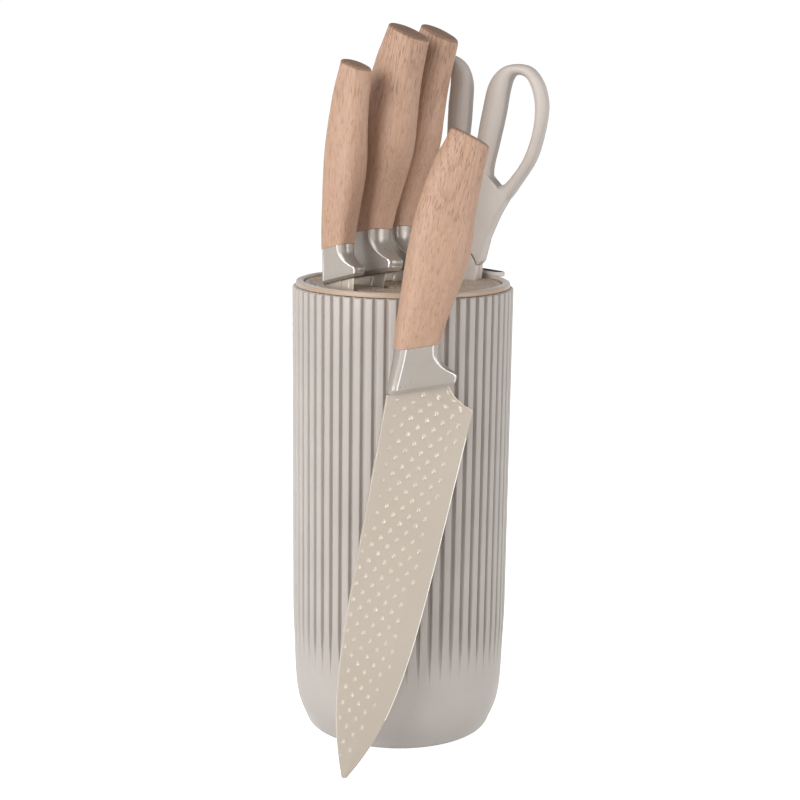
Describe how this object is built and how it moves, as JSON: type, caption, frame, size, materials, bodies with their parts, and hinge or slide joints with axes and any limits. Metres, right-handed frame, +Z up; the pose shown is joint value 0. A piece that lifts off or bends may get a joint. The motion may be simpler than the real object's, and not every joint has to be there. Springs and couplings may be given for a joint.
{
  "type": "knife block with knives",
  "caption": "Round fluted knife block with a lift-out slotted lid, wood-handled kitchen knives seated in it, a chef's knife leaning on it and kitchen scissors.",
  "frame": {"origin": "centre of the base pad's underside, on the table", "axes": "+Z up; -Y towards the side where the chef's knife leans; +X to its right"},
  "size_m": [0.1376, 0.1491, 0.3865],
  "materials": {
    "shell_plastic": "fine matte light greige",
    "tan_plastic": "satin warm tan",
    "deck_plastic": "satin tan with a hammered texture",
    "silicone": "matte",
    "steel": "plain",
    "scissor_steel": "brushed",
    "scissor_plastic": "fine matte light greige",
    "coated_blade": "champagne non-stick coating with dimples",
    "bolster_metal": "glossy warm grey",
    "beech": "oiled beech with short dark flecks"
  },
  "bodies": {
    "block": {"block_shell": "shell_plastic", "base_plate": "tan_plastic", "base_pad": "silicone", "base_screw_1": "steel", "base_screw_2": "steel", "base_screw_3": "steel"},
    "lid": {"lid_ring": "tan_plastic", "lid_deck": "deck_plastic", "lid_seal": "silicone", "lid_tab": "shell_plastic", "lid_screw_1": "steel", "lid_screw_2": "steel", "lid_screw_3": "steel"},
    "chef_knife": {"chef_blade": "coated_blade", "chef_bolster": "bolster_metal", "chef_handle": "beech"},
    "bread_knife": {"bread_blade": "coated_blade", "bread_bolster": "bolster_metal", "bread_handle": "beech"},
    "carving_knife": {"carving_blade": "coated_blade", "carving_bolster": "bolster_metal", "carving_handle": "beech"},
    "utility_knife": {"utility_blade": "coated_blade", "utility_bolster": "bolster_metal", "utility_handle": "beech"},
    "scissors_left_half": {"scissor_handle_left": "scissor_plastic", "scissor_blade_left": "scissor_steel", "pivot_screw": "steel", "pivot_nut": "steel"},
    "scissors_right_half": {"scissor_handle_right": "scissor_plastic", "scissor_blade_right": "scissor_steel"}
  },
  "joints": [
    {"name": "lid_lift", "type": "slide", "parent": "block", "child": "lid", "axis": [0, 0, 1], "range_m": [0, 0.22]},
    {"name": "chef_lift", "type": "slide", "parent": "block", "child": "chef_knife", "axis": [0, 0, 1], "range_m": [0, 0.3]},
    {"name": "bread_lift", "type": "slide", "parent": "lid", "child": "bread_knife", "axis": [0.1323, 0, 0.9912], "range_m": [0, 0.21]},
    {"name": "carving_lift", "type": "slide", "parent": "lid", "child": "carving_knife", "axis": [0.1616, 0, 0.9869], "range_m": [0, 0.205]},
    {"name": "utility_lift", "type": "slide", "parent": "lid", "child": "utility_knife", "axis": [0.0506, 0, 0.9987], "range_m": [0, 0.14]},
    {"name": "scissors_lift", "type": "slide", "parent": "lid", "child": "scissors_left_half", "axis": [0.1267, -0.0205, 0.9917], "range_m": [0, 0.1]},
    {"name": "scissors_pivot", "type": "hinge", "parent": "scissors_left_half", "child": "scissors_right_half", "pos_m": [0.02945, 0.02549, 0.25297], "axis": [0.4226, 0.9063, 0], "range_deg": [0, 15]}
  ]
}
